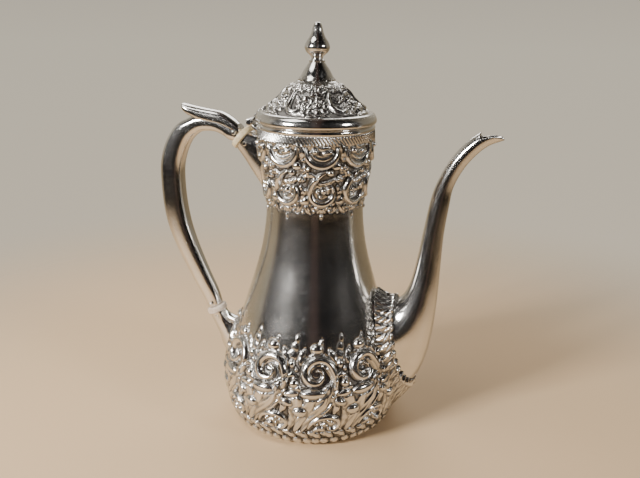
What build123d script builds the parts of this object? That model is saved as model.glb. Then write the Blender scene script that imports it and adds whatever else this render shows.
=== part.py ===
from build123d import *
from functools import cache
import math
import os

# A silver coffee pot: a raised pear-shaped body with a hinged domed lid and a screwed finial, a tall
# swan-neck spout with an applied leaf round its foot, and a hollow loop handle held between two ivory
# heat insulators. Millimetres. The origin is the centre of the foot on the table, +Z is up, +X runs
# along the spout and the handle is at -X. The plane Y = 0 is the pot's plane of symmetry.

# ---------------------------------------------------------------- driving dimensions
POT_HEIGHT = 240.0          # table to the tip of the finial
WALL = 1.0                  # gauge of the raised body
LID_WALL = 0.9
SPOUT_WALL = 0.9
HANDLE_WALL = 1.1

FOOT_RADIUS = 47.0          # outer edge of the flat ring that the pot stands on
FOOT_RING_WIDTH = 3.0
MOUTH_RADIUS = 33.4         # outside of the body wall at the mouth
MOUTH_Z = 184.2             # top of the body and of its rim moulding
RIM_MOULDING_HEIGHT = 4.0
RIM_MOULDING_DEPTH = 1.3
LID_GAP = 0.3               # between the rim moulding and the closed lid

# Half outline of the body between foot and mouth, as (radius, height).
BODY_OUTLINE = [
    (FOOT_RADIUS, 0.0), (49.8, 2.6), (52.2, 8.0), (54.3, 17.5), (55.3, 27.5), (54.4, 37.0), (51.6, 46.0),
    (47.8, 56.5), (43.9, 69.0), (37.5, 89.0), (32.0, 109.0), (29.3, 127.0), (29.0, 140.0), (30.2, 154.0),
    (32.5, 166.0), (33.6, 175.0), (MOUTH_RADIUS, MOUTH_Z),
]

# Half outline of the lid from its lower edge to the crown under the finial.
LID_BOTTOM_Z = MOUTH_Z + LID_GAP
LID_OUTLINE = [
    (33.2, LID_BOTTOM_Z), (32.9, 187.6), (31.2, 190.2), (28.6, 192.2), (24.8, 195.0), (21.2, 198.4),
    (18.9, 201.6), (15.0, 205.2), (10.6, 208.5), (6.0, 210.6),
]
CROWN_Z = 211.0
# Half-round moulding round the lid's edge: its foot, its fullest point and its top.
LID_RIM_ARC = [(34.5, LID_BOTTOM_Z), (34.9, 186.4), (33.2, 188.9)]
LID_RIM_BACK_RADIUS = 31.0

# Finial: a spun collar, then a cast knob whose stud passes through the crown to a nut.
COLLAR_OUTLINE = [(11.0, 208.7), (9.3, 210.6), (7.5, 213.9), (5.3, 217.1), (4.2, 218.6)]
COLLAR_WALL = 0.8
KNOB_OUTLINE = [
    (4.6, 218.6), (4.5, 219.4), (3.3, 220.4), (3.7, 221.6), (5.9, 223.6), (7.0, 225.5), (7.1, 227.2),
    (6.2, 229.2), (4.4, 231.8), (3.2, 234.8), (2.2, 238.0),
]
STUD_RADIUS = 1.5
NUT_ACROSS_FLATS = 6.0
NUT_HEIGHT = 2.4
WASHER_RADIUS = 4.6
WASHER_THICKNESS = 0.8

# Hinge behind the mouth, with its pin along Y.
HINGE_X = -38.6
HINGE_Z = 183.1
KNUCKLE_RADIUS = 2.3
HINGE_PIN_RADIUS = 0.8
HINGE_PIN_CLEARANCE = 0.05
HINGE_LENGTH = 16.0
CENTRE_KNUCKLE = 6.0
KNUCKLE_GAP = 0.3
# Side view of the bracket under the hinge and of the strap that runs up the lid from it.
BRACKET_OUTLINE = [
    (HINGE_X - 1.2, HINGE_Z - 1.9), (-36.6, 176.5), (-31.5, 174.5), (-31.5, HINGE_Z + 0.6),
    (HINGE_X + 1.0, HINGE_Z + 0.6),
]
STRAP_OUTLINE = [
    (HINGE_X - 0.6, HINGE_Z + 1.4), (-37.4, 187.2), (-35.2, 190.2), (-31.0, 192.9), (-26.5, 195.6),
    (-25.2, 194.0), (-30.0, 187.0), (-34.0, LID_BOTTOM_Z + 0.4), (HINGE_X + 2.0, LID_BOTTOM_Z + 0.4),
]
STRAP_WIDTH = 12.0
PIN_HEAD_EXTRA_RADIUS = 0.6
PIN_HEAD_HEIGHT = 0.8

# Handle: centre line in the plane Y = 0 as (x, z), thickness in that plane, and the direction it has
# at each insulator. The insulator discs sit square to it.
UPPER_DISC = (-45.9, 173.0)
UPPER_DIRECTION = (-0.765, 0.644)
LOWER_DISC = (-66.0, 58.6)
LOWER_DIRECTION = (0.42, -0.908)
HANDLE_LINE = [
    (-54.4, 178.9), (-61.0, 181.0), (-67.8, 181.4), (-74.8, 180.0), (-81.3, 175.9), (-87.2, 169.2),
    (-91.5, 160.0), (-93.6, 148.0), (-93.3, 134.0), (-91.5, 120.5), (-88.2, 107.8), (-83.5, 95.6),
    (-77.9, 83.6), (-72.2, 71.9),
]
HANDLE_THICKNESS = [12.0, 12.0, 12.0, 12.0, 12.4, 13.4, 14.0, 14.3, 14.1, 13.7, 13.0, 12.0, 11.2, 10.4]
HANDLE_ENDS = (12.4, 9.8)
HANDLE_WIDTH_RATIO = 0.92
# Thumb rest sections: centre, direction, half height and half width.
THUMB_REST_SECTIONS = [
    ((-52.5, 179.2), (-0.78, 0.62), 4.2, 3.6), ((-58.5, 183.4), (-0.93, 0.37), 4.4, 4.6),
    ((-66.0, 185.6), (-0.985, 0.17), 3.6, 5.4), ((-74.0, 186.6), (-0.985, 0.17), 3.2, 5.8),
    ((-83.6, 188.8), (-0.96, 0.28), 2.2, 6.0),
]
DISC_THICKNESS = 3.8
UPPER_DISC_RADIUS = 7.6
LOWER_DISC_RADIUS = 6.4
TENON_LENGTH = 5.5
TENON_FIT = 0.35            # between a tenon and the tube it plugs
INSULATOR_PIN_RADIUS = 0.8
INSULATOR_PIN_HEAD = 1.35
INSULATOR_PIN_HEAD_HEIGHT = 0.7

# Sockets from the insulator into the body: upper point, lower point and half width.
UPPER_SOCKET_SECTIONS = [
    ((-39.9, 177.2), (-49.0, 166.4), 6.3), ((-36.4, 176.6), (-44.6, 160.6), 6.1),
    ((-32.0, 176.0), (-38.6, 151.6), 6.0), ((-26.0, 176.0), (-31.0, 141.0), 6.0),
]
LOWER_SOCKET_SECTIONS = [
    ((-60.2, 59.4), (-70.2, 54.5), 5.3), ((-57.4, 54.0), (-67.6, 48.8), 5.2),
    ((-53.4, 50.4), (-64.0, 41.2), 5.6), ((-47.0, 48.8), (-60.6, 31.6), 7.0),
    ((-40.0, 48.0), (-52.0, 24.0), 8.0),
]
FORK_LEAF_SECTIONS = [
    ((-59.0, 58.2), (-60.2, 56.6), 0.9), ((-56.2, 55.6), (-58.4, 52.6), 2.6),
    ((-52.6, 54.6), (-53.4, 50.6), 3.8), ((-46.0, 55.6), (-46.4, 49.4), 4.6),
]

# Spout sections from inside the body to the lip: upper point, lower point and half width.
SPOUT_SECTIONS = [
    ((38.0, 86.0), (50.5, 8.0), 16.5),
    ((51.3, 80.4), (66.0, 29.5), 15.6),
    ((58.9, 88.4), (75.2, 62.5), 12.0),
    ((63.9, 110.5), (77.3, 106.0), 7.2),
    ((69.1, 144.2), (79.7, 141.0), 5.4),
    ((78.3, 167.7), (85.6, 161.9), 4.6),
    ((93.4, 184.0), (98.4, 176.8), 4.6),
    ((102.8, 187.8), (106.6, 180.6), 4.4),
]
# Side view of the cut lip, from the point of the upper wall to the tip of the lower one.
LIP_CUT = [(93.6, 184.6), (94.7, 180.9), (99.5, 182.5), (104.0, 182.2), (107.0, 180.4)]
LEAF_THICKNESS = 0.9
# Side view of the leaf's free edge, as the ends of its scallops.
LEAF_EDGE = [
    (49.5, 88.0), (52.6, 76.0), (52.8, 66.5), (53.6, 57.5), (55.6, 49.0), (58.8, 41.0), (62.6, 33.5),
    (67.5, 26.0),
]
SCALLOP_BULGE = 1.3
LEAF_KEEPER_BACK_X = 20.0       # inside the body
# Where the tool that cuts the lip ends: beyond the lip, below it and above it.
LIP_TOOL_X = 115.0
LIP_TOOL_LOW_Z = 176.0
LIP_TOOL_HIGH_Z = 200.0

# Pierced strainer inside the body behind the spout.
STRAINER_CENTRE_Z = 48.0
SPOUT_OPENING = (24.0, 11.0)    # half height and half width of the opening in the body wall
STRAINER_MARGIN = 2.5
STRAINER_THICKNESS = 0.7
STRAINER_HOLE_RADIUS = 1.3
STRAINER_PITCH = 5.0
STRAINER_HOLE_FIELD = 0.92      # share of the opening that has holes
WALL_TOOL_X = 25.0              # the tools through the wall behind the spout start here
WALL_TOOL_LENGTH = 40.0

BOTTOM_PLATE_THICKNESS = 1.2
BEZEL_RADIUS = 31.9
BEZEL_WALL = 0.8
BEZEL_DEPTH = 4.4
BEZEL_FLANGE_RADIUS = 32.25
BEZEL_FLANGE_Z = (185.2, 186.0)

AXIS_PLANE = Plane.XZ
END_OVERRUN = 2.0           # how far a cutting tool runs past the ends of what it cuts
ACROSS_ALL = 20.0           # half length of tools that cut right through along Y


# ---------------------------------------------------------------- helpers
def inset(outline, distance):
    """The outline moved square to itself, towards the axis."""
    moved = []
    for i, (r, z) in enumerate(outline):
        before = outline[max(i - 1, 0)]
        after = outline[min(i + 1, len(outline) - 1)]
        along_r, along_z = after[0] - before[0], after[1] - before[1]
        length = math.hypot(along_r, along_z)
        moved.append((r - distance * along_z / length, z + distance * along_r / length))
    return moved


def profile_face(outline, low_z=None, high_z=None):
    """The face between a smooth outline and the Z axis."""
    first, last = outline[0], outline[-1]
    low_z = first[1] if low_z is None else low_z
    high_z = last[1] if high_z is None else high_z
    rim = [(last[0], last[1])]
    if abs(high_z - last[1]) > 1e-6:
        rim.append((last[0], high_z))
    foot = [(first[0], first[1])]
    if abs(low_z - first[1]) > 1e-6:
        foot.insert(0, (first[0], low_z))
    line = Spline(*[(r, z) for r, z in outline])
    closing = Polyline(*rim, (0, high_z), (0, low_z), *foot)
    return make_face(AXIS_PLANE * (line + closing))


def turned(outline, low_z=None, high_z=None):
    """A solid of revolution under a smooth outline."""
    return revolve(profile_face(outline, low_z, high_z), Axis.Z)


def turned_polygon(*points):
    return revolve(make_face(AXIS_PLANE * Polyline(*points, close=True)), Axis.Z)


def in_plane(point):
    """A point (x, z) of the symmetry plane."""
    return Vector(point[0], 0, point[1])


def section_plane(centre, along):
    """A plane square to the direction along, whose x axis lies in the symmetry plane."""
    axis = Vector(along[0], 0, along[1]).normalized()
    across = Vector(0, 1, 0).cross(axis)
    return Plane(origin=in_plane(centre), x_dir=across, z_dir=axis)


def cylinder_along(centre, along, radius, start, end):
    """A cylinder round a line of the symmetry plane, between two distances from the centre."""
    axis = Vector(along[0], 0, along[1]).normalized()
    place = section_plane(centre, along)
    place = Plane(origin=in_plane(centre) + axis * start, x_dir=place.x_dir, z_dir=axis)
    return extrude(place * Circle(radius), end - start)


def moved_along(point, along, distance):
    size = math.hypot(*along)
    return (point[0] + along[0] / size * distance, point[1] + along[1] / size * distance)


def along_y(x, z, radius, y_low, y_high):
    """A cylinder parallel to Y."""
    disc = Plane(origin=(x, y_low, z), x_dir=(1, 0, 0), z_dir=(0, 1, 0)) * Circle(radius)
    return extrude(disc, y_high - y_low)


def plate_in_plane(points, width):
    """A polygon of the symmetry plane, extruded to both sides."""
    return extrude(make_face(AXIS_PLANE * Polyline(*points, close=True)), width / 2, both=True)


def oval(place, half_x, half_y):
    """A closed oval face; every oval starts on its local x axis, so lofts never twist."""
    corners = 8
    points = []
    for i in range(corners):
        angle = 2 * math.pi * i / corners
        points.append((half_x * math.cos(angle), half_y * math.sin(angle)))
    return place * make_face(Spline(*points, periodic=True))


# ---------------------------------------------------------------- body
@cache
def body_block():
    """The body as if it were solid, which everything soldered to it is cut against."""
    return turned(BODY_OUTLINE)


@cache
def body_shell():
    hollow = inset(BODY_OUTLINE, WALL)
    hollow[0] = (FOOT_RADIUS - FOOT_RING_WIDTH, 0.0)
    hollow[1] = (hollow[1][0] - 0.6, hollow[1][1])
    hollow[-1] = (MOUTH_RADIUS - WALL, MOUTH_Z)
    shell = body_block() - turned(hollow)
    return shell - spout_opening(0)


def spout_opening(margin):
    """A cylinder of oval section along X through the wall behind the spout."""
    tall, wide = SPOUT_OPENING
    place = Plane(origin=(WALL_TOOL_X, 0, STRAINER_CENTRE_Z), x_dir=(0, 1, 0), z_dir=(1, 0, 0))
    return extrude(place * Ellipse(wide + margin, tall + margin), WALL_TOOL_LENGTH)


def spout_strainer():
    inner = inset(BODY_OUTLINE, WALL)
    lower, upper = 3, 10
    outside = turned(inner[lower:upper])
    inside = turned(inset(inner[lower:upper], STRAINER_THICKNESS))
    plate = ((outside - inside) & spout_opening(STRAINER_MARGIN)) - body_shell()
    tall, wide = SPOUT_OPENING
    row_height = STRAINER_PITCH * math.sin(math.radians(60))
    rows = int(tall / row_height)
    for row in range(-rows, rows + 1):
        shift = STRAINER_PITCH / 2 if row % 2 else 0
        for column in range(-3, 4):
            y, z = column * STRAINER_PITCH + shift, row * row_height
            reach = math.hypot(y / (wide - 1), z / (tall - 1))
            if reach < STRAINER_HOLE_FIELD:
                start = (WALL_TOOL_X, y, STRAINER_CENTRE_Z + z)
                place = Plane(origin=start, x_dir=(0, 1, 0), z_dir=(1, 0, 0))
                plate -= extrude(place * Circle(STRAINER_HOLE_RADIUS), WALL_TOOL_LENGTH)
    return plate


def bottom_plate():
    """A flat disc let into the foot, flush with the table."""
    radius = FOOT_RADIUS - FOOT_RING_WIDTH
    top = BOTTOM_PLATE_THICKNESS
    disc = turned_polygon((0, 0), (radius, 0), (radius + 2, top), (0, top))
    return disc - body_shell()


@cache
def mouth_rim():
    """A half-round wire soldered round the outside of the mouth."""
    low = MOUTH_Z - RIM_MOULDING_HEIGHT
    middle = (MOUTH_RADIUS + RIM_MOULDING_DEPTH, MOUTH_Z - RIM_MOULDING_HEIGHT / 2)
    bead = ThreePointArc((MOUTH_RADIUS, low), middle, (MOUTH_RADIUS, MOUTH_Z))
    back = Polyline((MOUTH_RADIUS, MOUTH_Z), (MOUTH_RADIUS - 0.5, MOUTH_Z), (MOUTH_RADIUS - 0.5, low),
                    (MOUTH_RADIUS, low))
    return revolve(make_face(AXIS_PLANE * (bead + back)), Axis.Z) - body_block()


# ---------------------------------------------------------------- spout
def horn_loft(sections, growth=0, lengthened=0):
    """A smooth horn through sections given as (upper point, lower point, half width), each grown.

    lengthened moves the two end sections outwards, for cutting tools."""
    faces = []
    for i, (upper, lower, half_width) in enumerate(sections):
        middle = ((upper[0] + lower[0]) / 2, (upper[1] + lower[1]) / 2)
        across = (lower[0] - upper[0], lower[1] - upper[1])
        along = (-across[1], across[0])
        half_depth = math.hypot(*across) / 2
        if i == 0:
            middle = moved_along(middle, along, -lengthened)
        if i == len(sections) - 1:
            middle = moved_along(middle, along, lengthened)
        faces.append(oval(section_plane(middle, along), half_depth + growth, half_width + growth))
    return loft(faces)


@cache
def spout_loft(growth, lengthened=0):
    return horn_loft(SPOUT_SECTIONS, growth, lengthened)


def lip_cutter():
    outline = [*LIP_CUT, (LIP_TOOL_X, LIP_TOOL_LOW_Z), (LIP_TOOL_X, LIP_TOOL_HIGH_Z),
               (LIP_CUT[0][0] - 0.4, LIP_TOOL_HIGH_Z)]
    return plate_in_plane(outline, 2 * ACROSS_ALL)


def spout_tube():
    outer = spout_loft(0) - lip_cutter()
    return outer - spout_loft(-SPOUT_WALL, END_OVERRUN) - body_block()


def leaf_keeper():
    """The space that the leaf may fill, with a scalloped side away from the body."""
    edge = []
    for a, b in zip(LEAF_EDGE, LEAF_EDGE[1:]):
        along = (b[0] - a[0], b[1] - a[1])
        length = math.hypot(*along)
        middle = ((a[0] + b[0]) / 2 - along[1] / length * SCALLOP_BULGE,
                  (a[1] + b[1]) / 2 + along[0] / length * SCALLOP_BULGE)
        edge.append(ThreePointArc(a, middle, b))
    first, last = LEAF_EDGE[0], LEAF_EDGE[-1]
    back_x = LEAF_KEEPER_BACK_X
    back = Polyline(last, (last[0] - 8, 0), (back_x, 0), (back_x, first[1] + 6), first)
    outline = back
    for piece in edge:
        outline = outline + piece
    return extrude(make_face(AXIS_PLANE * outline), ACROSS_ALL, both=True)


def spout_leaf_mount():
    skin = spout_loft(LEAF_THICKNESS) - spout_loft(0)
    return (skin & leaf_keeper()) - body_block()


# ---------------------------------------------------------------- handle, sockets and insulators
def handle_stations():
    """Centre, direction and thickness of the handle's sections from the upper to the lower end."""
    start = moved_along(UPPER_DISC, UPPER_DIRECTION, DISC_THICKNESS / 2)
    end = moved_along(LOWER_DISC, LOWER_DIRECTION, -DISC_THICKNESS / 2)
    points = [start, *HANDLE_LINE, end]
    sizes = [HANDLE_ENDS[0], *HANDLE_THICKNESS, HANDLE_ENDS[1]]
    stations = []
    for i, point in enumerate(points):
        if i == 0:
            along = UPPER_DIRECTION
        elif i == len(points) - 1:
            along = LOWER_DIRECTION
        else:
            along = (points[i + 1][0] - points[i - 1][0], points[i + 1][1] - points[i - 1][1])
        stations.append((point, along, sizes[i]))
    return stations


@cache
def handle_loft(growth, lengthened=0):
    sections = []
    stations = handle_stations()
    for i, (centre, along, thickness) in enumerate(stations):
        half = thickness / 2
        if i == 0:
            centre = moved_along(centre, along, -lengthened)
        if i == len(stations) - 1:
            centre = moved_along(centre, along, lengthened)
        place = section_plane(centre, along)
        sections.append(oval(place, half + growth, half * HANDLE_WIDTH_RATIO + growth))
    return loft(sections)


def insulator_holes(centre, along):
    """The pin holes through both tenons of an insulator, as cylinders along Y."""
    reach = DISC_THICKNESS / 2 + TENON_LENGTH / 2
    spots = [moved_along(centre, along, reach), moved_along(centre, along, -reach)]
    return [along_y(x, z, INSULATOR_PIN_RADIUS, -ACROSS_ALL, ACROSS_ALL) for x, z in spots]


def handle_tube():
    tube = handle_loft(0) - handle_loft(-HANDLE_WALL, END_OVERRUN)
    for centre, along in ((UPPER_DISC, UPPER_DIRECTION), (LOWER_DISC, LOWER_DIRECTION)):
        for hole in insulator_holes(centre, along):
            tube -= hole
    return tube


def thumb_rest():
    """The flaring leaf that rides on top of the handle and ends in a cut-off point."""
    faces = []
    for centre, along, half_height, half_width in THUMB_REST_SECTIONS:
        faces.append(oval(section_plane(centre, along), half_height, half_width))
    return loft(faces) - handle_loft(0)


def tenon_radius(tube_thickness):
    return tube_thickness * HANDLE_WIDTH_RATIO / 2 - HANDLE_WALL - TENON_FIT


def insulator(centre, along, disc_radius, tube_thickness):
    half = DISC_THICKNESS / 2
    disc = cylinder_along(centre, along, disc_radius, -half, half)
    disc = fillet(disc.edges().filter_by(GeomType.CIRCLE), half * 0.7)
    radius = tenon_radius(tube_thickness)
    piece = disc + cylinder_along(centre, along, radius, -half - TENON_LENGTH, half + TENON_LENGTH)
    for hole in insulator_holes(centre, along):
        piece -= hole
    return piece


def insulator_pins(centre, along, tube_thickness, socket_sections):
    """Two rivets along Y, one through the handle end and one through the socket."""
    reach = DISC_THICKNESS / 2 + TENON_LENGTH / 2
    handle_half = tube_thickness * HANDLE_WIDTH_RATIO / 2
    pins = []
    for distance, half in ((reach, handle_half), (-reach, socket_sections[0][2])):
        x, z = moved_along(centre, along, distance)
        end = half + 0.3
        pin = along_y(x, z, INSULATOR_PIN_RADIUS, -end, end)
        for side in (-1, 1):
            low, high = sorted((side * end, side * (end + INSULATOR_PIN_HEAD_HEIGHT)))
            head = along_y(x, z, INSULATOR_PIN_HEAD, low, high)
            edge = head.edges().filter_by(GeomType.CIRCLE).sort_by(Axis.Y)[-1 if side > 0 else 0]
            pin += fillet(edge, INSULATOR_PIN_HEAD_HEIGHT * 0.8)
        pins.append(pin)
    return pins


def socket(sections, insulator_piece, rivets, centre, along, tube_thickness):
    """A horn from an insulator into the body wall, bored for the insulator's tenon."""
    horn = horn_loft(sections) - body_block() - insulator_piece
    bore = tenon_radius(tube_thickness) + TENON_FIT
    reach = DISC_THICKNESS / 2 + TENON_LENGTH + 1
    horn -= cylinder_along(centre, along, bore, -reach, reach)
    for rivet in rivets:
        horn -= rivet
    return horn


def upper_insulator():
    return insulator(UPPER_DISC, UPPER_DIRECTION, UPPER_DISC_RADIUS, HANDLE_ENDS[0])


def upper_insulator_pins():
    return insulator_pins(UPPER_DISC, UPPER_DIRECTION, HANDLE_ENDS[0], UPPER_SOCKET_SECTIONS)


@cache
def upper_socket():
    return socket(UPPER_SOCKET_SECTIONS, upper_insulator(), upper_insulator_pins(),
                  UPPER_DISC, UPPER_DIRECTION, HANDLE_ENDS[0])


def lower_insulator():
    return insulator(LOWER_DISC, LOWER_DIRECTION, LOWER_DISC_RADIUS, HANDLE_ENDS[1])


def lower_insulator_pins():
    return insulator_pins(LOWER_DISC, LOWER_DIRECTION, HANDLE_ENDS[1], LOWER_SOCKET_SECTIONS)


@cache
def lower_socket():
    return socket(LOWER_SOCKET_SECTIONS, lower_insulator(), lower_insulator_pins(),
                  LOWER_DISC, LOWER_DIRECTION, HANDLE_ENDS[1])


def lower_socket_leaf():
    """A curling leaf in the fork between the lower socket and the body."""
    pieces = (horn_loft(FORK_LEAF_SECTIONS) - body_block() - lower_socket()).solids()
    return pieces.sort_by(SortBy.VOLUME)[-1]


# ---------------------------------------------------------------- lid
@cache
def lid_block():
    return turned([*LID_OUTLINE, (0.01, CROWN_Z)])


@cache
def lid_dome():
    hollow = inset([*LID_OUTLINE, (0.01, CROWN_Z)], LID_WALL)
    hollow[0] = (LID_OUTLINE[0][0] - LID_WALL, LID_BOTTOM_Z)
    hollow[-1] = (0.01, CROWN_Z - LID_WALL)
    dome = lid_block() - turned(hollow)
    return dome - Pos(0, 0, CROWN_Z) * Cylinder(STUD_RADIUS + 0.1, 10)


@cache
def lid_rim():
    """The smooth half-round moulding round the lid's edge."""
    foot, _, top = LID_RIM_ARC
    back_r = LID_RIM_BACK_RADIUS
    back = Polyline(top, (back_r, top[1] + 0.3), (back_r, foot[1]), foot)
    return revolve(make_face(AXIS_PLANE * (ThreePointArc(*LID_RIM_ARC) + back)), Axis.Z) - lid_block()


def lid_bezel():
    """The collar under the lid that drops into the mouth, flanged where it is soldered to the dome."""
    inner = BEZEL_RADIUS - BEZEL_WALL
    low = MOUTH_Z - BEZEL_DEPTH
    flange, (flange_low, flange_top) = BEZEL_FLANGE_RADIUS, BEZEL_FLANGE_Z
    return turned_polygon((inner, low), (BEZEL_RADIUS, low), (BEZEL_RADIUS, flange_low),
                          (flange, flange_low), (flange, flange_top), (inner, flange_top))


def finial_collar():
    shell = turned(COLLAR_OUTLINE) - turned(inset(COLLAR_OUTLINE, COLLAR_WALL)) - lid_block()
    top = COLLAR_OUTLINE[-1]
    cap = turned_polygon((STUD_RADIUS + 0.1, top[1] - 0.9), (top[0] + 0.25, top[1] - 0.9),
                         (top[0], top[1]), (STUD_RADIUS + 0.1, top[1]))
    return shell + cap - finial()


@cache
def finial():
    tip = KNOB_OUTLINE[-1]
    knob = turned(KNOB_OUTLINE)
    dome = revolve(make_face(AXIS_PLANE * (
        ThreePointArc((tip[0], tip[1]), (1.5, POT_HEIGHT - 0.55), (0, POT_HEIGHT))
        + Polyline((0, POT_HEIGHT), (0, tip[1]), (tip[0], tip[1])))), Axis.Z)
    stud_low = CROWN_Z - LID_WALL - WASHER_THICKNESS - NUT_HEIGHT - 1
    stud_high = KNOB_OUTLINE[0][1]
    stud = Pos(0, 0, (stud_low + stud_high) / 2) * Cylinder(STUD_RADIUS, stud_high - stud_low)
    return knob + dome + stud


def washer_z():
    """Top of the washer, clear below the inside of the crown."""
    return CROWN_Z - LID_WALL - 0.45


def finial_washer():
    washer = Pos(0, 0, washer_z() - WASHER_THICKNESS / 2) * Cylinder(WASHER_RADIUS, WASHER_THICKNESS)
    return washer - Pos(0, 0, washer_z()) * Cylinder(STUD_RADIUS + 0.1, 10) - lid_dome()


def finial_nut():
    top = washer_z() - WASHER_THICKNESS
    flats = RegularPolygon(NUT_ACROSS_FLATS / 2, 6, major_radius=False)
    nut = extrude(Pos(0, 0, top - NUT_HEIGHT) * flats, NUT_HEIGHT)
    return nut - Pos(0, 0, top) * Cylinder(STUD_RADIUS, 10)


# ---------------------------------------------------------------- hinge
def knuckle(y_low, y_high, bore):
    barrel = along_y(HINGE_X, HINGE_Z, KNUCKLE_RADIUS, y_low, y_high)
    return barrel - along_y(HINGE_X, HINGE_Z, bore, y_low - 1, y_high + 1)


def body_hinge_leaf():
    """Two outer knuckles and the bracket that ties them to the mouth."""
    half, centre = HINGE_LENGTH / 2, CENTRE_KNUCKLE / 2
    low = centre + KNUCKLE_GAP
    bracket = plate_in_plane(BRACKET_OUTLINE, HINGE_LENGTH)
    slot = Pos(HINGE_X, 0, HINGE_Z) * Box(2 * KNUCKLE_RADIUS + 1.0, CENTRE_KNUCKLE + 2 * KNUCKLE_GAP, 9)
    leaf = bracket - body_block() - mouth_rim() - upper_socket() - slot
    leaf -= along_y(HINGE_X, HINGE_Z, HINGE_PIN_RADIUS, -ACROSS_ALL, ACROSS_ALL)
    for y_low, y_high in ((-half, -low), (low, half)):
        leaf += knuckle(y_low, y_high, HINGE_PIN_RADIUS)
    return leaf


def lid_hinge_leaf():
    """The middle knuckle and the strap that runs from it up the slope of the lid."""
    half = CENTRE_KNUCKLE / 2
    over = plate_in_plane(STRAP_OUTLINE, STRAP_WIDTH)
    tongue_keeper = Pos(HINGE_X, 0, HINGE_Z) * (
        Box(2 * KNUCKLE_RADIUS + 1.2, 40, 2 * KNUCKLE_RADIUS + 1.2)
        - Box(2 * KNUCKLE_RADIUS + 1.3, CENTRE_KNUCKLE, 2 * KNUCKLE_RADIUS + 1.3))
    strap = over - lid_block() - lid_rim() - tongue_keeper
    bore = HINGE_PIN_RADIUS + HINGE_PIN_CLEARANCE
    strap -= along_y(HINGE_X, HINGE_Z, bore, -ACROSS_ALL, ACROSS_ALL)
    return strap + knuckle(-half, half, bore)


def hinge_pin():
    half = HINGE_LENGTH / 2
    pin = along_y(HINGE_X, HINGE_Z, HINGE_PIN_RADIUS, -half, half)
    for side in (-1, 1):
        low, high = sorted((side * half, side * (half + PIN_HEAD_HEIGHT)))
        pin += along_y(HINGE_X, HINGE_Z, HINGE_PIN_RADIUS + PIN_HEAD_EXTRA_RADIUS, low, high)
    return pin


# ---------------------------------------------------------------- output
PARTS = {
    "body_shell": body_shell,
    "bottom_plate": bottom_plate,
    "mouth_rim": mouth_rim,
    "spout_tube": spout_tube,
    "spout_leaf_mount": spout_leaf_mount,
    "spout_strainer": spout_strainer,
    "handle_tube": handle_tube,
    "thumb_rest": thumb_rest,
    "upper_socket": upper_socket,
    "upper_insulator": upper_insulator,
    "upper_insulator_pins": upper_insulator_pins,
    "lower_socket": lower_socket,
    "lower_socket_leaf": lower_socket_leaf,
    "lower_insulator": lower_insulator,
    "lower_insulator_pins": lower_insulator_pins,
    "body_hinge_leaf": body_hinge_leaf,
    "hinge_pin": hinge_pin,
    "lid_dome": lid_dome,
    "lid_rim": lid_rim,
    "lid_bezel": lid_bezel,
    "lid_hinge_leaf": lid_hinge_leaf,
    "finial_collar": finial_collar,
    "finial": finial,
    "finial_washer": finial_washer,
    "finial_nut": finial_nut,
}

os.makedirs("parts", exist_ok=True)
for name, make in PARTS.items():
    shape = make()
    solids = shape if isinstance(shape, list) else shape.solids()
    export_step(Compound(children=list(solids)), f"parts/{name}.step")
    print(name, len(solids))
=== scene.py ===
import bpy
import math
import numpy as np
from mathutils import Matrix, Vector


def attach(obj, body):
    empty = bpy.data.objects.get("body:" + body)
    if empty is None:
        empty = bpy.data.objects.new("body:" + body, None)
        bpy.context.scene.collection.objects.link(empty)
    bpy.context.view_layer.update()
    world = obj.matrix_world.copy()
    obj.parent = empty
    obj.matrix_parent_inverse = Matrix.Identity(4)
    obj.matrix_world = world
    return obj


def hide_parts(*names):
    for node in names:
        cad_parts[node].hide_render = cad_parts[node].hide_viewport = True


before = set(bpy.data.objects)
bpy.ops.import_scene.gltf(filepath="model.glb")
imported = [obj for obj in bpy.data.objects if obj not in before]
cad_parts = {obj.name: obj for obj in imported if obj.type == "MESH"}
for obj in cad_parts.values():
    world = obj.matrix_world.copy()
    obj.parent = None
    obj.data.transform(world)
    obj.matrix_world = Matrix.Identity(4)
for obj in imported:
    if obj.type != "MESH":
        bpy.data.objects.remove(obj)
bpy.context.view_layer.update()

MM = 0.001
TAU = 2 * math.pi
rng = np.random.default_rng(7)


# ------------------------------------------------------------------ curves
def curve_through(points, count):
    """Points spaced evenly along a centripetal Catmull-Rom curve through the given ones."""
    p = np.array(points, float)
    p = np.vstack([2 * p[0] - p[1], p, 2 * p[-1] - p[-2]])
    out = []
    fine = 24
    for i in range(1, len(p) - 2):
        p0, p1, p2, p3 = p[i - 1:i + 3]
        t0 = 0.0
        t1 = t0 + max(np.linalg.norm(p1 - p0), 1e-6) ** 0.5
        t2 = t1 + max(np.linalg.norm(p2 - p1), 1e-6) ** 0.5
        t3 = t2 + max(np.linalg.norm(p3 - p2), 1e-6) ** 0.5
        t = np.linspace(t1, t2, fine, endpoint=False)[:, None]
        a1 = (t1 - t) / (t1 - t0) * p0 + (t - t0) / (t1 - t0) * p1
        a2 = (t2 - t) / (t2 - t1) * p1 + (t - t1) / (t2 - t1) * p2
        a3 = (t3 - t) / (t3 - t2) * p2 + (t - t2) / (t3 - t2) * p3
        b1 = (t2 - t) / (t2 - t0) * a1 + (t - t0) / (t2 - t0) * a2
        b2 = (t3 - t) / (t3 - t1) * a2 + (t - t1) / (t3 - t1) * a3
        out.append((t2 - t) / (t2 - t1) * b1 + (t - t1) / (t2 - t1) * b2)
    out = np.vstack(out + [p[-2:-1]])
    run = np.concatenate([[0], np.cumsum(np.linalg.norm(np.diff(out, axis=0), axis=1))])
    at = np.linspace(0, run[-1], count)
    return np.stack([np.interp(at, run, out[:, k]) for k in range(p.shape[1])], axis=1)


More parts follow.
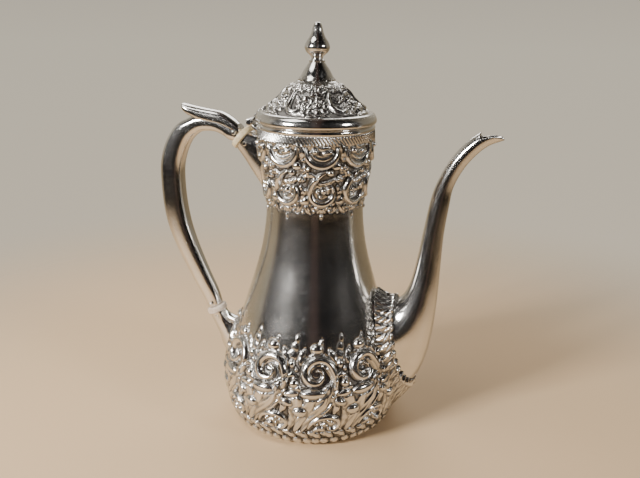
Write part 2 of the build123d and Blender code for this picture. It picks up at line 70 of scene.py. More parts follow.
def smooth_table(xs, ys):
    """A function that runs smoothly through a few values."""
    line = curve_through(list(zip(xs, ys)), 400)
    return lambda x: np.interp(x, line[:, 0], line[:, 1])


# ------------------------------------------------------------------ embossed ornament
class Relief:
    """Heights in mm over a cell that repeats sideways. u runs round the pot, v up it."""

    def __init__(self, width, low, high, step=0.2):
        self.width, self.low, self.high = width, low, high
        self.nu, self.nv = round(width / step), round((high - low) / step)
        u = (np.arange(self.nu) + 0.5) / self.nu * width - width / 2
        v = low + (np.arange(self.nv) + 0.5) / self.nv * (high - low)
        self.u, self.v = np.meshgrid(u, v)
        self.h = np.zeros_like(self.u)
        # painted shade: how far the colour is darkened, along cut lines and in clefts
        self.dark = np.zeros_like(self.u)
        self.ground = np.ones_like(self.u)

    def put(self, q, edge, height, groove=0.5, rim=0.85, lift=0.15, power=0.6):
        """Raises what lies inside q < 1 and cuts a line round it; edge is the distance outside in mm."""
        inside = q < 1
        round_top = np.clip(1 - q * q, 0, 1) ** power
        self.h = np.where(inside, lift + height * round_top, self.h)
        cut = np.clip(1 - np.abs(edge) / rim, 0, 1) ** 1.5
        outside = edge >= 0
        self.h = self.h - groove * cut * outside
        # painted shade along the cut line round the shape, and a lighter painted shade just inside its edge
        self.dark = np.where(inside, 0.35 * np.clip(-edge < 0.25, 0, 1), np.maximum(self.dark, cut))
        self.ground = np.where(inside, 0, self.ground)
        return inside

    def nearest(self, line):
        """Distance to a polyline, and how far along it is nearest."""
        best = np.full_like(self.u, 1e9)
        along = np.zeros_like(self.u)
        steps = np.linalg.norm(np.diff(line, axis=0), axis=1)
        run = np.concatenate([[0], np.cumsum(steps)])
        for shift in (-self.width, 0, self.width):
            for i in range(len(line) - 1):
                a, b = line[i] + (shift, 0), line[i + 1] + (shift, 0)
                ab = b - a
                pu, pv = self.u - a[0], self.v - a[1]
                t = np.clip((pu * ab[0] + pv * ab[1]) / max(ab @ ab, 1e-9), 0, 1)
                du, dv = pu - t * ab[0], pv - t * ab[1]
                d = np.hypot(du, dv)
                closer = d < best
                best = np.where(closer, d, best)
                along = np.where(closer, (run[i] + t * steps[i]) / run[-1], along)
        return best, along

    def roll(self, points, widths, height, samples=60, **how):
        """A rounded stem along a curve, its half width changing along it."""
        line = curve_through(points, samples)
        d, t = self.nearest(line)
        half = np.interp(t, np.linspace(0, 1, len(widths)), widths)
        scale = np.interp(t, np.linspace(0, 1, len(widths)), np.array(widths) / max(widths))
        self.put(d / half, d - half, height * (0.35 + 0.65 * scale), **how)

    def leaf(self, points, widths, height, ribs=5, slant=1.2, **how):
        """A stem with a sunk midrib and slanting lobes."""
        line = curve_through(points, 40)
        d, t = self.nearest(line)
        half = np.interp(t, np.linspace(0, 1, len(widths)), widths)
        lobes = 0.5 + 0.5 * np.cos(TAU * (t * ribs - np.abs(d / half) * slant * 0.5))
        half = half * (0.86 + 0.14 * lobes)
        q = d / half
        inside = self.put(q, d - half, height, **how)
        vein = 0.30 * height * (1 - lobes) * np.clip(q * 2.2, 0, 1)
        midrib = 0.45 * height * np.exp(-(d / 0.45) ** 2)
        self.h = np.where(inside, self.h - vein - midrib, self.h)
        # painted shade in the clefts between the lobes
        self.dark = np.where(inside, np.maximum(self.dark, 0.5 * (1 - lobes) ** 3 * (q > 0.3)), self.dark)

    def local(self, u, v, turn):
        """Distances from a point, along axes turned by an angle."""
        du = (self.u - u + self.width / 2) % self.width - self.width / 2
        dv = self.v - v
        c, s = math.cos(turn), math.sin(turn)
        return du * c + dv * s, -du * s + dv * c

    def dome(self, u, v, ru, rv, height, turn=0.0, **how):
        x, y = self.local(u, v, math.radians(turn))
        q = np.hypot(x / ru, y / rv)
        self.put(q, (q - 1) * min(ru, rv), height, **{"power": 0.5, **how})

    def shell(self, u, v, ru, rv, height, turn=0.0, rays=7, span=160, **how):
        """A fan of rounded rays round a point."""
        x, y = self.local(u, v, math.radians(turn))
        q = np.hypot(x / ru, y / rv)
        angle = np.degrees(np.arctan2(x / ru, y / rv))
        ray = 0.5 + 0.5 * np.cos(np.radians(angle * rays * 360 / span))
        reach = q / (0.84 + 0.16 * ray)
        reach = np.where(np.abs(angle) < span / 2, reach, 9)
        inside = self.put(reach, (reach - 1) * min(ru, rv), height, **how)
        self.h = np.where(inside, self.h - 0.35 * height * (1 - ray) * np.clip(q * 1.6, 0, 1), self.h)
        # painted shade in the clefts between the rays
        self.dark = np.where(inside, np.maximum(self.dark, 0.6 * (1 - ray) ** 4), self.dark)

    def soften(self, passes=1):
        for _ in range(passes):
            for a in ("h", "dark", "ground"):
                m = getattr(self, a)
                m = (np.roll(m, 1, 1) + 2 * m + np.roll(m, -1, 1)) / 4
                up, down = np.vstack([m[1:], m[-1:]]), np.vstack([m[:1], m[:-1]])
                setattr(self, a, (up + 2 * m + down) / 4)

    def sample(self, name, u, v):
        """Values at any u and v; zero above and below the cell."""
        m = getattr(self, name)
        x = ((u + self.width / 2) % self.width) / self.width * self.nu - 0.5
        y = (v - self.low) / (self.high - self.low) * self.nv - 0.5
        x0, y0 = np.floor(x).astype(int), np.floor(y).astype(int)
        fx, fy = x - x0, y - y0
        ok = (y > -0.5) & (y < self.nv - 0.5)
        y0c, y1c = np.clip(y0, 0, self.nv - 1), np.clip(y0 + 1, 0, self.nv - 1)
        a, b = m[y0c, x0 % self.nu], m[y0c, (x0 + 1) % self.nu]
        c, d = m[y1c, x0 % self.nu], m[y1c, (x0 + 1) % self.nu]
        value = (a * (1 - fx) + b * fx) * (1 - fy) + (c * (1 - fx) + d * fx) * fy
        return np.where(ok, value, 0)


# ------------------------------------------------------------------ mesh building
def make_object(name, verts, faces, material, attributes=None):
    mesh = bpy.data.meshes.new(name)
    flat = np.ascontiguousarray(verts, dtype=np.float32).reshape(-1, 3) * MM
    mesh.vertices.add(len(flat))
    mesh.vertices.foreach_set("co", flat.ravel())
    sizes = np.array([len(f) for f in faces], dtype=np.int32)
    loops = np.fromiter((i for f in faces for i in f), dtype=np.int32)
    mesh.loops.add(len(loops))
    mesh.loops.foreach_set("vertex_index", loops)
    mesh.polygons.add(len(faces))
    starts = np.concatenate([[0], np.cumsum(sizes)[:-1]]).astype(np.int32)
    mesh.polygons.foreach_set("loop_start", starts)
    mesh.update(calc_edges=True)
    mesh.validate()
    for key, values in (attributes or {}).items():
        layer = mesh.attributes.new(key, "FLOAT", "POINT")
        layer.data.foreach_set("value", np.asarray(values, dtype=np.float32).ravel())
    mesh.polygons.foreach_set("use_smooth", np.ones(len(mesh.polygons), dtype=bool))
    obj = bpy.data.objects.new(name, mesh)
    bpy.context.scene.collection.objects.link(obj)
    mesh.materials.append(material)
    return obj


def stands_for(piece, body, node):
    """A piece rides on its body, in place of its CAD node."""
    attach(piece, body)
    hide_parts(node)


def ring_faces(rows, columns, close_rows):
    """Quads over a grid whose columns wrap round, and whose rows do too if close_rows."""
    last = rows if close_rows else rows - 1
    i = np.arange(last)[:, None]
    j = np.arange(columns)[None, :]
    a = (i % rows) * columns + j
    b = (i % rows) * columns + (j + 1) % columns
    c = ((i + 1) % rows) * columns + (j + 1) % columns
    d = ((i + 1) % rows) * columns + j
    return np.stack(np.broadcast_arrays(a, b, c, d), axis=-1).reshape(-1, 4).tolist()


def wrapped(name, grid, material, close_rows=False, attributes=None):
    """A closed mesh from rings of points, shape (rows, columns, 3), with its ends capped."""
    rows, columns, _ = grid.shape
    verts = grid.reshape(-1, 3)
    faces = ring_faces(rows, columns, close_rows)
    extra = {k: np.asarray(v).ravel() for k, v in (attributes or {}).items()}
    if not close_rows:
        ends = []
        for row, flip in ((0, True), (rows - 1, False)):
            centre = len(verts) + len(ends)
            ends.append(grid[row].mean(axis=0))
            for j in range(columns):
                a, b = row * columns + j, row * columns + (j + 1) % columns
                faces.append((b, a, centre) if flip else (a, b, centre))
        verts = np.vstack([verts, ends])
        extra = {k: np.concatenate([v, [v[0], v[-1]]]) for k, v in extra.items()}
    return make_object(name, verts, faces, material, extra)


def turned_grid(profile, columns):
    """Rings of a profile of (radius, height) points turned round Z."""
    a = np.arange(columns) / columns * TAU
    p = np.array(profile)
    x = p[:, :1] * np.cos(a)
    y = p[:, :1] * np.sin(a)
    z = np.broadcast_to(p[:, 1:2], x.shape)
    return np.stack([x, y, z], axis=-1)


def normals_of(profile):
    t = np.gradient(np.array(profile), axis=0)
    t /= np.linalg.norm(t, axis=1)[:, None]
    return np.stack([t[:, 1], -t[:, 0]], axis=1)


# ------------------------------------------------------------------ materials
def value_at(node, name, value):
    node.inputs[name].default_value = value


def add(nt, kind, values=()):
    """A new shader node with some of its inputs set."""
    node = nt.nodes.new("ShaderNode" + kind)
    for name, value in dict(values).items():
        value_at(node, name, value)
    return node


def silver(name, roughness=0.10, chased=False, scratch=0.07):
    """Polished silver. Where it is chased, an attribute paints shade into its colour, near black in
    grooves, clefts and the matted ground, and dulls it.
    """
    mat = bpy.data.materials.new(name)
    mat.use_nodes = True
    nt = mat.node_tree
    shader = nt.nodes["Principled BSDF"]
    value_at(shader, "Metallic", 1.0)
    value_at(shader, "Coat Weight", 0.8)
    value_at(shader, "Coat Roughness", 0.20)
    coord = add(nt, "TexCoord")

    patches = add(nt, "TexNoise", {"Scale": 45.0, "Detail": 4.0})
    nt.links.new(coord.outputs["Object"], patches.inputs["Vector"])

    fine = add(nt, "TexNoise", {"Scale": 260.0, "Detail": 8.0, "Roughness": 0.65, "Distortion": 5.0})
    nt.links.new(coord.outputs["Object"], fine.inputs["Vector"])

    tone = add(nt, "ValToRGB")
    tone.color_ramp.elements[0].position = 0.3
    tone.color_ramp.elements[0].color = (0.72, 0.70, 0.665, 1)
    tone.color_ramp.elements[1].position = 0.75
    tone.color_ramp.elements[1].color = (0.83, 0.815, 0.79, 1)
    nt.links.new(patches.outputs["Fac"], tone.inputs["Fac"])
    colour = tone.outputs["Color"]

    rough = add(nt, "MapRange", {"From Min": 0.3, "From Max": 0.7,
                                 "To Min": roughness * 0.7, "To Max": roughness * 1.4})
    nt.links.new(patches.outputs["Fac"], rough.inputs["Value"])
    roughness_out = rough.outputs["Result"]

    bump = add(nt, "Bump", {"Strength": scratch, "Distance": 0.0004})
    nt.links.new(fine.outputs["Fac"], bump.inputs["Height"])
    normal = bump.outputs["Normal"]

    if chased:
        painted_recess_shade = add(nt, "Attribute")
        painted_recess_shade.attribute_name = "painted_recess_shade"
        ground = add(nt, "Attribute")
        ground.attribute_name = "ground"

        # painted shade: the base colour goes towards near black where the shade attribute is high
        dark = add(nt, "Mix")
        dark.data_type = "RGBA"
        dark.inputs["B"].default_value = (0.045, 0.038, 0.032, 1)
        nt.links.new(painted_recess_shade.outputs["Fac"], dark.inputs["Factor"])
        nt.links.new(colour, dark.inputs["A"])
        colour = dark.outputs["Result"]

        dull = add(nt, "Mix")
        dull.inputs["B"].default_value = 0.42
        nt.links.new(painted_recess_shade.outputs["Fac"], dull.inputs["Factor"])
        nt.links.new(roughness_out, dull.inputs["A"])
        roughness_out = dull.outputs["Result"]

        dots = add(nt, "TexVoronoi", {"Scale": 1300.0})
        nt.links.new(coord.outputs["Object"], dots.inputs["Vector"])
        only = add(nt, "Math")
        only.operation = "MULTIPLY"
        nt.links.new(dots.outputs["Distance"], only.inputs[0])
        nt.links.new(ground.outputs["Fac"], only.inputs[1])
        stipple = add(nt, "Bump", {"Strength": 0.9, "Distance": 0.0005})
        nt.links.new(only.outputs[0], stipple.inputs["Height"])
        nt.links.new(normal, stipple.inputs["Normal"])
        normal = stipple.outputs["Normal"]

    swirl = add(nt, "Bump", {"Strength": 0.55, "Distance": 0.0006})
    nt.links.new(fine.outputs["Fac"], swirl.inputs["Height"])
    nt.links.new(swirl.outputs["Normal"], shader.inputs["Coat Normal"])
    nt.links.new(colour, shader.inputs["Base Color"])
    nt.links.new(roughness_out, shader.inputs["Roughness"])
    nt.links.new(normal, shader.inputs["Normal"])
    return mat


def ivory(name, light, shade):
    """A satin cream material with fine grain."""
    mat = bpy.data.materials.new(name)
    mat.use_nodes = True
    nt = mat.node_tree
    shader = nt.nodes["Principled BSDF"]
    value_at(shader, "Roughness", 0.38)
    value_at(shader, "Specular IOR Level", 0.5)
    coord = add(nt, "TexCoord")
    grain = add(nt, "TexNoise", {"Scale": 420.0, "Detail": 6.0, "Distortion": 0.8})
    nt.links.new(coord.outputs["Object"], grain.inputs["Vector"])
    ramp = add(nt, "ValToRGB")
    ramp.color_ramp.elements[0].position = 0.35
    ramp.color_ramp.elements[0].color = (*shade, 1)
    ramp.color_ramp.elements[1].position = 0.6
    ramp.color_ramp.elements[1].color = (*light, 1)
    nt.links.new(grain.outputs["Fac"], ramp.inputs["Fac"])
    nt.links.new(ramp.outputs["Color"], shader.inputs["Base Color"])
    bump = add(nt, "Bump", {"Strength": 0.2, "Distance": 0.0003})
    nt.links.new(grain.outputs["Fac"], bump.inputs["Height"])
    nt.links.new(bump.outputs["Normal"], shader.inputs["Normal"])
    return mat


POLISHED = silver("polished_silver", 0.10)
CHASED = silver("chased_silver", 0.14, chased=True)
INSIDE = silver("dull_inner_silver", 0.30)
IVORY = ivory("cream_heat_break", (0.76, 0.65, 0.42), (0.58, 0.46, 0.27))
IVORY_PALE = ivory("pale_heat_break", (0.82, 0.72, 0.62), (0.60, 0.48, 0.38))


# ------------------------------------------------------------------ body
BODY_OUTLINE = [
    (47.0, 0.0), (49.8, 2.6), (52.2, 8.0), (54.3, 17.5), (55.3, 27.5), (54.4, 37.0), (51.6, 46.0),
    (47.8, 56.5), (43.9, 69.0), (37.5, 89.0), (32.0, 109.0), (29.3, 127.0), (29.0, 140.0), (30.2, 154.0),
    (32.5, 166.0), (33.6, 175.0), (33.4, 184.2),
]
BODY_TOP = BODY_OUTLINE[-1][1]
WALL = 1.0
body_line = curve_through(BODY_OUTLINE, 900)


def body_radius(z):
    return np.interp(z, body_line[:, 1], body_line[:, 0])


UNITS_LOW = 11
LOW_RADIUS = 52.0         # where the belly's ornament has its true size
FRONT_AZIMUTH = 16.0      # where one belly scroll is centred, from -Y towards +X
LOW_WIDTH = TAU * LOW_RADIUS / UNITS_LOW


def spiral(centre, table):
    """Points and half widths from rows of (degrees, radius, half width)."""
    points = []
    for degrees, radius, _ in table:
        a = math.radians(degrees)
        points.append((centre[0] + radius * math.cos(a), centre[1] + radius * math.sin(a)))
    return points, [row[2] for row in table]


BELLY_SCROLL = [
    (-40, 13.4, 1.0), (-20, 11.6, 1.7), (0, 10.1, 2.2), (25, 9.1, 2.4), (50, 8.2, 2.4), (75, 7.4, 2.3),
    (100, 6.9, 2.3), (130, 6.8, 2.5), (160, 6.9, 2.8), (190, 6.9, 2.9), (220, 6.5, 2.9), (250, 5.8, 2.8),
    (280, 5.1, 2.5), (310, 4.4, 2.0), (340, 3.7, 1.5), (375, 3.0, 1.1), (415, 2.2, 0.9), (460, 1.4, 0.7),
]


def belly_relief():
    """One scroll and what belongs to it, between the foot and the plain middle of the body."""
    r = Relief(LOW_WIDTH, -1.0, 74.0)
    # tongues that fade upwards between the scrolls
    for u, v, ru, rv in ((-9.8, 66.4, 1.3, 2.6), (-11.0, 62.0, 2.2, 2.8), (-12.4, 57.4, 3.0, 3.2)):
        r.dome(u, v, ru, rv, 0.45, turn=-8, lift=0.1, groove=0.3)
    r.leaf([(13.8, 53), (12.8, 57.5), (11.2, 60.6)], [2.4, 2.6, 0.9], 0.9, ribs=2)
    r.leaf([(-6.4, 54), (-6.0, 58.0), (-4.6, 61)], [2.2, 2.2, 0.8], 0.9, ribs=2)
    # broad leaves left of the stem
    r.leaf([(-9.8, 45), (-8.6, 35), (-9.2, 24), (-13.0, 13)], [2.4, 4.4, 3.8, 1.0], 1.0, ribs=3)
    r.leaf([(0.5, 36), (-1.0, 28), (-5.4, 20), (-9.6, 12)], [4.8, 4.8, 3.4, 0.9], 1.2, ribs=3, slant=2.4)
    # wide stem with its raised border, which runs into the scroll
    r.leaf([(10.6, 41), (7.2, 31.5), (2.2, 23.4), (-5.6, 13.0)], [3.4, 4.8, 3.8, 0.9], 1.6,
           ribs=4, slant=3.0)
    r.roll([(15.2, 44), (14.4, 38.2), (10.4, 30.0), (4.0, 23.0), (-2.0, 17.2), (-6.0, 11.6)],
           [0.8, 1.0, 1.1, 1.0, 0.9, 0.5], 1.7, rim=1.1, groove=0.8)
    r.leaf([(11.4, 34.5), (14.2, 29.5), (12.6, 24.6)], [1.4, 2.5, 1.0], 1.1, ribs=2)
    # hollow round the eye of the scroll, then the ram's-horn scroll itself
    r.dome(4.6, 48.2, 8.2, 7.2, -0.25, lift=-0.6, groove=0.4, rim=0.9)
    points, widths = spiral((3.2, 48.5), BELLY_SCROLL)
    r.roll(points, widths, 3.0, groove=1.0, rim=1.2, lift=0.2, samples=150)
    r.roll([(12.6, 42.0), (11.6, 46.4), (9.6, 50.0), (6.6, 52.4)], [0.35, 0.55, 0.55, 0.3], 0.8, groove=0.3)
    # collar and ball over the scroll
    r.roll([(-1.4, 57.6), (2.8, 58.9), (7.8, 57.8)], [0.5, 1.1, 0.5], 1.0)
    r.leaf([(5.2, 62.5), (6.6, 67.0)], [2.2, 0.4], 0.9, ribs=3)
    r.dome(3.2, 61.4, 4.1, 2.8, 2.2, groove=0.6)
    # bean under the scroll, and bosses between the stems
    r.dome(0.8, 37.2, 7.0, 2.8, 2.3, turn=3, groove=0.9, rim=1.1)
    r.dome(-6.2, 26.0, 3.9, 2.9, 2.3, groove=0.9, rim=1.1)
    r.dome(-13.6, 31.6, 3.6, 2.1, 2.0, turn=-28, groove=0.8, rim=1.0)
    r.dome(-11.2, 36.8, 4.4, 1.9, 1.4, turn=10, groove=0.7)
    r.dome(-10.4, 42.4, 2.5, 2.1, 1.8, groove=0.7)
    r.dome(-12.2, 53.0, 1.8, 2.5, 1.5)
    r.leaf([(-15.0, 45.6), (-11.6, 47.4), (-8.4, 46.0)], [0.8, 1.6, 0.4], 1.0, ribs=3)
    r.dome(-9.4, 50.2, 1.1, 1.6, 1.0, turn=20)
    # beaded loop near the foot
    r.dome(8.0, 17.8, 6.8, 4.4, -0.2, lift=-0.5, groove=0.2)
    r.roll([(-1.8, 14.6), (0.4, 18.6), (4.4, 21.8), (9.6, 22.6), (14.0, 20.8), (15.6, 17.2), (13.2, 13.6),
            (9.8, 13.8), (9.2, 16.4)],
           [0.6, 1.2, 1.5, 1.7, 1.6, 1.4, 1.2, 0.9, 0.5], 1.9, groove=0.8, rim=1.0)
    beads = [(3.2, 17.6), (5.0, 19.2), (7.2, 19.9), (9.6, 19.6), (11.8, 18.6), (6.0, 17.2), (7.8, 17.8)]
    for u, v in beads:
        r.dome(u, v, 0.95, 0.95, 1.0, groove=0.4, rim=0.5)
    r.leaf([(1.4, 12.8), (5.0, 14.2), (8.2, 12.4)], [0.8, 2.0, 0.5], 1.3, ribs=2)
    r.leaf([(17.6, 27.0), (18.8, 22.0), (17.2, 14.5)], [0.6, 1.8, 0.5], 1.2, ribs=3)
    # small leaves round the foot
    for i in range(4):
        u = (i + 0.25) * LOW_WIDTH / 4
        r.leaf([(u - 3.4, 10.8), (u, 10.2), (u + 3.4, 7.4)], [0.9, 2.4, 0.8], 1.2, ribs=2, groove=0.5)
    for i in range(5):
        u = (i + 0.5) * LOW_WIDTH / 5
        r.dome(u + 0.8 * math.sin(5 * i), 4.0, 2.7, 2.2, 0.8, turn=-14, groove=0.5)
    r.soften(1)
    return r


UNITS_NECK = 9
NECK_RADIUS = 31.0        # where the neck's ornament has its true size
NECK_AZIMUTH = 23.6
NECK_WIDTH = TAU * NECK_RADIUS / UNITS_NECK


def neck_relief():
    """One scroll and its flowers, between the plain middle of the body and its mouth."""
    r = Relief(NECK_WIDTH, 128.0, 184.0)
    # hanging fringe
    r.shell(0.0, 142.4, 4.6, 5.6, 0.9, turn=180, rays=5, span=150)
    r.dome(0.0, 135.2, 0.8, 1.5, 0.9)
    r.leaf([(-8.8, 145.0), (-8.4, 140.0), (-6.6, 137.2)], [2.8, 2.3, 0.8], 0.8, ribs=2)
    r.leaf([(8.6, 145.0), (8.2, 140.4), (6.6, 138.0)], [2.6, 2.1, 0.8], 0.8, ribs=2)
    r.dome(-4.6, 138.4, 0.8, 0.8, 0.7)
    r.dome(5.0, 138.6, 0.8, 0.8, 0.7)
    r.dome(10.4, 138.0, 0.8, 0.8, 0.8)
    # lobes between the scrolls
    r.dome(-10.2, 144.6, 2.9, 2.5, 1.3)
    r.dome(-9.4, 149.8, 1.5, 2.0, 1.0)
    r.leaf([(9.2, 153.0), (10.8, 149.0), (9.6, 145.5)], [0.8, 1.8, 0.8], 1.0, ribs=3)
    # the round scroll
    r.dome(0.0, 149.2, 6.4, 6.3, -0.2, lift=-0.4, groove=0.3)
    ring = [
        (2.2, 161.6), (-1.6, 159.2), (-5.2, 155.2), (-6.8, 150.4), (-5.8, 145.8), (-2.2, 142.9),
        (2.2, 142.9), (5.8, 145.4), (6.9, 149.4), (5.4, 152.4), (3.2, 151.2), (3.8, 149.2),
    ]
    r.roll(ring, [0.6, 1.4, 1.9, 1.8, 1.7, 1.8, 1.9, 1.9, 1.7, 1.4, 1.0, 0.7], 2.1, groove=0.8, rim=0.9)
    r.leaf([(-1.4, 154.8), (3.0, 155.0), (8.2, 157.4)], [0.8, 1.7, 0.8], 1.3, ribs=4)
    for u, v, s in ((0.9, 150.4, 1.9), (-2.6, 150.2, 1.4), (-1.0, 147.2, 1.3)):
        r.dome(u, v, s, s, 1.7, groove=0.6, rim=0.6)
    # sprays over the scroll
    r.leaf([(9.6, 170.0), (12.6, 168.6), (15.2, 170.4)], [1.0, 2.4, 0.8], 1.2, ribs=2)
    r.leaf([(-12.2, 176.0), (-11.4, 173.0), (-9.6, 170.4)], [0.8, 2.0, 1.0], 1.1, ribs=2)
    r.dome(10.4, 157.4, 1.9, 2.2, 1.5, turn=20)
    r.leaf([(-3.6, 158.6), (-7.0, 159.6), (-10.8, 158.4)], [0.8, 1.7, 0.5], 1.1, ribs=4)
    r.dome(-12.6, 156.6, 1.4, 1.4, 1.4)
    r.dome(-8.6, 163.0, 1.2, 1.1, 1.1)
    r.dome(4.6, 160.8, 2.0, 1.9, 1.6)
    r.dome(7.6, 164.6, 2.6, 2.2, 1.4)
    for i in range(5):
        a = math.radians(72 * i + 20)
        r.dome(12.2 + 1.9 * math.cos(a), 162.6 + 1.7 * math.sin(a), 1.1, 1.1, 1.0, groove=0.25, rim=0.4)
    r.dome(12.2, 162.6, 0.9, 0.9, 1.4, groove=0.3, rim=0.4)
    # cup above the scroll
    r.dome(-0.8, 170.4, 7.4, 4.6, 0.7, power=0.9, groove=0.4)
    r.roll([(-3.0, 175.6), (-0.6, 174.6), (3.4, 175.4)], [0.6, 1.1, 0.6], 1.1)
    r.roll([(-5.8, 171.6), (-3.4, 169.4), (0.2, 168.6), (3.8, 170.0), (5.2, 172.0)],
           [0.5, 1.1, 1.3, 1.1, 0.5], 1.2, groove=0.6)
    r.roll([(-9.0, 174.2), (-7.6, 168.6), (-3.8, 165.4), (1.0, 164.9), (5.2, 167.2), (7.4, 171.0),
            (7.6, 174.4)],
           [0.7, 1.5, 2.0, 2.1, 1.9, 1.5, 0.7], 2.0, groove=0.9, rim=1.0)
    r.dome(-4.4, 173.2, 1.7, 1.6, 1.9, groove=0.5)
    r.dome(2.2, 172.6, 3.0, 1.3, 1.6, turn=10, groove=0.5)
    r.leaf([(8.8, 177.0), (10.8, 172.6), (10.2, 169.0)], [1.0, 2.1, 0.8], 1.1, ribs=2)
    # feathered band under the rim
    strokes = 12
    for i in range(strokes):
        u = (i + 0.5) * NECK_WIDTH / strokes
        r.roll([(u - 1.7, 181.0), (u + 1.5, 176.2)], [0.4, 0.5], 0.9, groove=0.3, rim=0.35)
    r.soften(1)
    return r


def fade(z, low, high, soft):
    """One between two heights, and down to zero over a soft stretch inside each."""
    return np.clip((z - low) / soft, 0, 1) * np.clip((high - z) / soft, 0, 1)


def build_body():
    columns = 660
    dense = 0.48
    z = [0.0]
    while z[-1] < BODY_TOP:
        unadorned = 72.0 < z[-1] < 131.0
        z.append(z[-1] + (2.0 if unadorned else dense))
    z = np.array(z)
    z = z / z[-1] * BODY_TOP
    radius = body_radius(z)
    profile = np.stack([radius, z], axis=1)
    normal = normals_of(profile)
    angle = np.arange(columns) / columns * TAU
    azimuth = np.degrees(angle) + 90.0
    low, neck = belly_relief(), neck_relief()
    za = np.broadcast_to(z[:, None], (len(z), columns))
    u_low = np.radians(azimuth - FRONT_AZIMUTH)[None, :] * LOW_RADIUS + np.zeros_like(za)
    u_neck = np.radians(azimuth - NECK_AZIMUTH)[None, :] * NECK_RADIUS + np.zeros_like(za)
    height = low.sample("h", u_low, za) + neck.sample("h", u_neck, za)
    dark = low.sample("dark", u_low, za) + neck.sample("dark", u_neck, za)
    ground = low.sample("ground", u_low, za) * fade(za, -2, 58, 6) * (za < 60)
    ground = ground + neck.sample("ground", u_neck, za) * fade(za, 141, 176, 5)
    height = height - 0.45 * ground
    height = height * np.clip(za / 1.2, 0, 1)
    # painted shade: grooves, clefts and the matted ground between the ornament darkened in colour
    dark = np.clip(dark * 1.1 + 0.72 * ground, 0, 1)
    r = radius[:, None] + height * normal[:, :1]
    zz = za + height * normal[:, 1:2]
    outer = np.stack([r * np.cos(angle), r * np.sin(angle), zz], axis=-1)
    inner_z = np.concatenate([np.linspace(BODY_TOP, 4.0, 60), [1.25]])
    inner_r = body_radius(inner_z) - WALL
    inner_r[-1] = 46.0
    inner = turned_grid(np.stack([inner_r, inner_z], axis=1), columns)
    lip = turned_grid([(33.2, 184.45), (32.6, 184.45)], columns)
    foot = turned_grid([(44.0, 0.0)], columns)
    grid = np.concatenate([outer, lip, inner, foot])
    blank = np.zeros((len(grid) - len(outer), columns))
    # painted shade over the inside of the pot
    blank[2:] = 0.25
    piece = wrapped("pot_body", grid, CHASED, close_rows=True, attributes={
        "painted_recess_shade": np.concatenate([dark, blank]),
        "ground": np.concatenate([ground, blank * 0]),
    })
    stands_for(piece, "pot", "body_shell")


def turned(name, profile, body, node, columns=192, closed=True):
    """A plain turned piece. A profile that starts and ends near the axis isn't closed on itself."""
    stands_for(wrapped(name, turned_grid(profile, columns), POLISHED, close_rows=closed), body, node)


def build_mouth_band():
    face = curve_through([(33.3, 180.9), (33.9, 181.3), (34.35, 182.2), (34.3, 183.0), (33.8, 183.9),
                          (33.0, 184.3)], 24)
    turned("mouth_band", [*face, (33.0, 183.5), (33.0, 181.0)], "pot", "mouth_rim")


# ------------------------------------------------------------------ swept pieces
def in_body(points, margin=0.5):
    """Pushes points that lie inside the body's wall out to it, so that nothing shows inside."""
    p = points.copy()
    r = np.hypot(p[..., 0], p[..., 1])
    wall = body_radius(p[..., 2]) - margin
    scale = np.where(r < wall, wall / np.maximum(r, 1e-6), 1)
    p[..., 0] *= scale
    p[..., 1] *= scale
    return p


def section_points(upper, lower, half_width, angles, power=2.0):
    """Closed sections square to the symmetry plane. Angle 0 is the upper side, 90 the +Y side."""
    middle = (upper + lower) / 2
    half = (upper - lower) / 2
    depth = np.linalg.norm(half, axis=1, keepdims=True)
    unit = half / depth
    c, s = np.cos(angles), np.sin(angles)
    fc = np.sign(c) * np.abs(c) ** (2 / power)
    fs = np.sign(s) * np.abs(s) ** (2 / power)
    x = middle[:, :1] + unit[:, :1] * depth * fc
    z = middle[:, 1:] + unit[:, 1:] * depth * fc
    y = half_width[:, None] * fs
    return np.stack([x, y, z], axis=-1)


class Horn:
    """A horn through sections (upper x, upper z, lower x, lower z, half width)."""

    def __init__(self, sections, fine=400, power=2.0):
        self.power = power
        table = np.array(sections, float)
        self.count = len(table)
        ends = np.vstack([2 * table[0] - table[1], table, 2 * table[-1] - table[-2]])
        self.table = np.vstack([self.stretch(ends, i, fine // self.count) for i in range(1, len(ends) - 2)]
                               + [table[-1:]])
        self.where = np.linspace(0, self.count - 1, len(self.table))

    @staticmethod
    def stretch(p, i, n):
        t = np.linspace(0, 1, n, endpoint=False)[:, None]
        p0, p1, p2, p3 = p[i - 1:i + 3]
        return 0.5 * (2 * p1 + (p2 - p0) * t + (2 * p0 - 5 * p1 + 4 * p2 - p3) * t ** 2
                      + (3 * p1 - p0 - 3 * p2 + p3) * t ** 3)

    def at(self, s, angles, growth=0.0):
        """Points at section number s, which may differ from angle to angle: s has shape (rows, columns)."""
        s = np.clip(s, 0, self.count - 1)
        v = [np.interp(s, self.where, self.table[:, k]) for k in range(5)]
        mx, mz = (v[0] + v[2]) / 2, (v[1] + v[3]) / 2
        hx, hz = (v[0] - v[2]) / 2, (v[1] - v[3]) / 2
        depth = np.hypot(hx, hz)
        c, sn = np.cos(angles), np.sin(angles)
        fc = np.sign(c) * np.abs(c) ** (2 / self.power)
        fs = np.sign(sn) * np.abs(sn) ** (2 / self.power)
        reach = (depth + growth) / depth
        return np.stack([mx + hx * reach * fc, (v[4] + growth) * fs, mz + hz * reach * fc], axis=-1)


